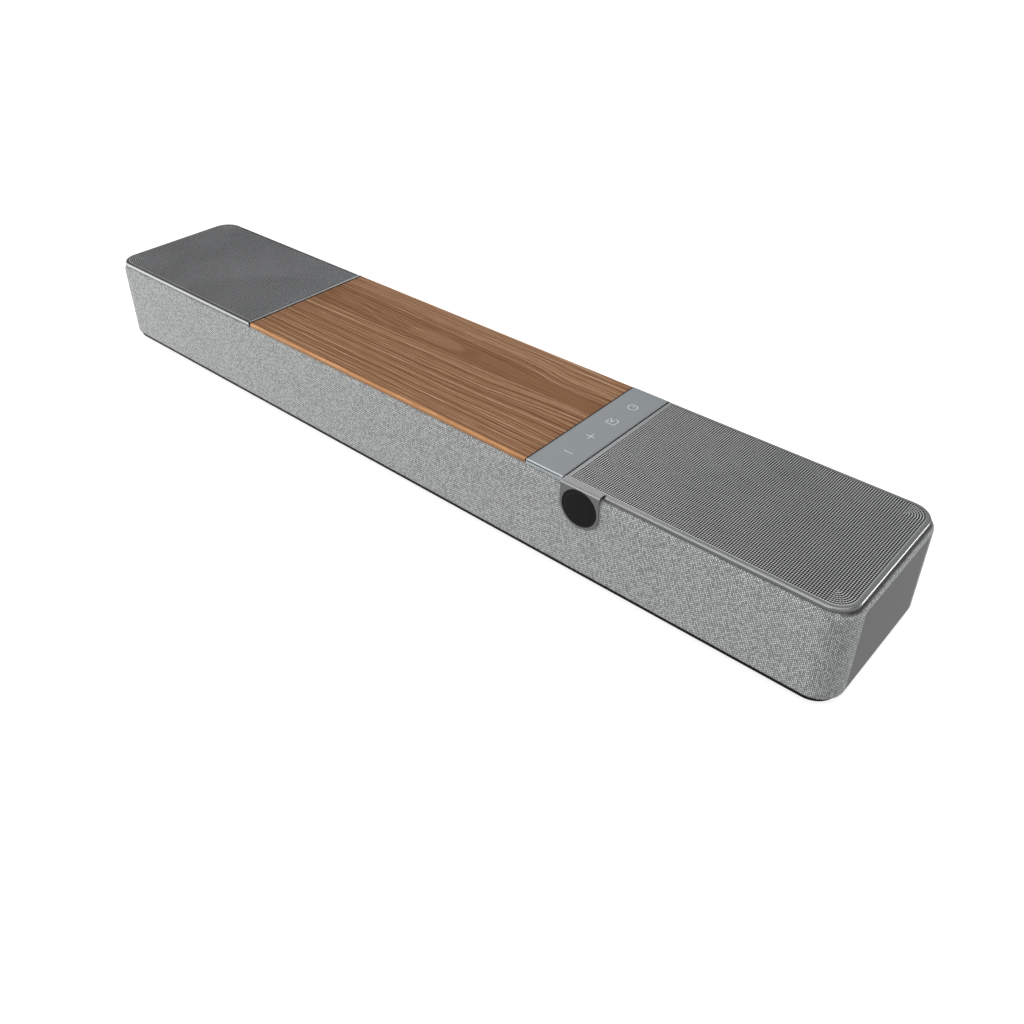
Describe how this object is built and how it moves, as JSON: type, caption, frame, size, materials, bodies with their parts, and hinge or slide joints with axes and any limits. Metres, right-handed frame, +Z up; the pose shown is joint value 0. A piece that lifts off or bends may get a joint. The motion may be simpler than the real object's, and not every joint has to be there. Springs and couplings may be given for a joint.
{
  "type": "soundbar",
  "caption": "Compact fabric-wrapped soundbar with perforated top grilles, a walnut top panel, a flush key strip, up-firing woofers and a rear connector recess.",
  "frame": {"origin": "centre of the bounding box on the floor plane, under the rubber feet", "axes": "+X to the right end as seen from the front, +Y to the rear, +Z up; the fabric front faces -Y"},
  "size_m": [0.714, 0.1274, 0.076],
  "materials": {
    "grey_fabric": "light grey melange woven polyester",
    "grille_metal_dark": "satin dark grey anodised sheet",
    "grille_metal": "satin grey anodised sheet",
    "liner_black": "black acoustic nonwoven",
    "walnut": "open-grain satin walnut veneer",
    "core_board": "sanded fibreboard",
    "control_grey": "fine matte blue-grey film",
    "black_abs": "fine textured black plastic",
    "base_black": "textured black plastic",
    "badge_black": "satin black disc",
    "smoked_lens": "smoked light guide",
    "foot_rubber": "black rubber",
    "surround_rubber": "black butyl rubber",
    "driver_steel": "black powder-coated steel",
    "motor_steel": "zinc plated steel and ferrite",
    "paper_cone": "black paper pulp",
    "cone_aluminium": "satin spun aluminium",
    "copper": "enamelled copper winding",
    "spider_cloth": "resin-treated cotton",
    "circuit_board": "green solder mask",
    "nickel": "nickel plated",
    "heat_sink_aluminium": "extruded aluminium",
    "brass": "machined brass",
    "screw_steel": "black zinc steel"
  },
  "bodies": {
    "cabinet": {"front_baffle": "black_abs", "rear_cover": "black_abs", "end_cap_left": "black_abs", "end_cap_right": "black_abs", "top_deck": "black_abs", "base_plate": "base_black", "bulkhead_left": "black_abs", "bulkhead_right": "black_abs", "feet": "foot_rubber", "fabric_sleeve": "grey_fabric", "grille_left": "grille_metal_dark", "grille_right": "grille_metal", "grille_liners": "liner_black", "wood_veneer": "walnut", "wood_core": "core_board", "control_overlay": "control_grey", "key_carrier": "control_grey", "control_board": "circuit_board", "tact_switches": "nickel", "light_bar": "smoked_lens", "badge_disc": "badge_black", "woofer_left_basket": "driver_steel", "woofer_left_motor": "motor_steel", "woofer_left_surround": "surround_rubber", "woofer_left_spider": "spider_cloth", "woofer_right_basket": "driver_steel", "woofer_right_motor": "motor_steel", "woofer_right_surround": "surround_rubber", "woofer_right_spider": "spider_cloth", "driver_left_basket": "driver_steel", "driver_left_motor": "motor_steel", "driver_left_surround": "surround_rubber", "driver_right_basket": "driver_steel", "driver_right_motor": "motor_steel", "driver_right_surround": "surround_rubber", "main_board": "circuit_board", "power_board": "circuit_board", "heat_sink": "heat_sink_aluminium", "connector_plate": "black_abs", "mains_inlet": "black_abs", "video_socket": "nickel", "optical_socket": "black_abs", "pre_out_jack": "brass", "base_screws": "screw_steel", "woofer_screws": "screw_steel", "wall_inserts": "brass"},
    "woofer_left_moving": {"woofer_left_cone": "paper_cone", "woofer_left_dust_cap": "paper_cone", "woofer_left_coil": "copper"},
    "driver_left_moving": {"driver_left_diaphragm": "cone_aluminium", "driver_left_coil": "copper"},
    "woofer_right_moving": {"woofer_right_cone": "paper_cone", "woofer_right_dust_cap": "paper_cone", "woofer_right_coil": "copper"},
    "driver_right_moving": {"driver_right_diaphragm": "cone_aluminium", "driver_right_coil": "copper"},
    "key_minus_cap": {"key_minus": "control_grey"},
    "key_plus_cap": {"key_plus": "control_grey"},
    "key_source_cap": {"key_source": "control_grey"},
    "key_power_cap": {"key_power": "control_grey"}
  },
  "joints": [
    {"name": "key_minus_press", "type": "slide", "parent": "cabinet", "child": "key_minus_cap", "axis": [0, 0, -1], "range_m": [0, 0.0004], "stiffness_N_per_m": 4000},
    {"name": "key_plus_press", "type": "slide", "parent": "cabinet", "child": "key_plus_cap", "axis": [0, 0, -1], "range_m": [0, 0.0004], "stiffness_N_per_m": 4000},
    {"name": "key_source_press", "type": "slide", "parent": "cabinet", "child": "key_source_cap", "axis": [0, 0, -1], "range_m": [0, 0.0004], "stiffness_N_per_m": 4000},
    {"name": "key_power_press", "type": "slide", "parent": "cabinet", "child": "key_power_cap", "axis": [0, 0, -1], "range_m": [0, 0.0004], "stiffness_N_per_m": 4000},
    {"name": "woofer_left_stroke", "type": "slide", "parent": "cabinet", "child": "woofer_left_moving", "axis": [0, 0, 1], "range_m": [-0.0035, 0.0035], "stiffness_N_per_m": 1800, "deforming": ["woofer_left_surround", "woofer_left_spider"]},
    {"name": "woofer_right_stroke", "type": "slide", "parent": "cabinet", "child": "woofer_right_moving", "axis": [0, 0, 1], "range_m": [-0.0035, 0.0035], "stiffness_N_per_m": 1800, "deforming": ["woofer_right_surround", "woofer_right_spider"]},
    {"name": "driver_left_stroke", "type": "slide", "parent": "cabinet", "child": "driver_left_moving", "axis": [0, -1, 0], "range_m": [-0.0012, 0.0012], "stiffness_N_per_m": 900, "deforming": ["driver_left_surround"]},
    {"name": "driver_right_stroke", "type": "slide", "parent": "cabinet", "child": "driver_right_moving", "axis": [0, -1, 0], "range_m": [-0.0012, 0.0012], "stiffness_N_per_m": 900, "deforming": ["driver_right_surround"]}
  ]
}
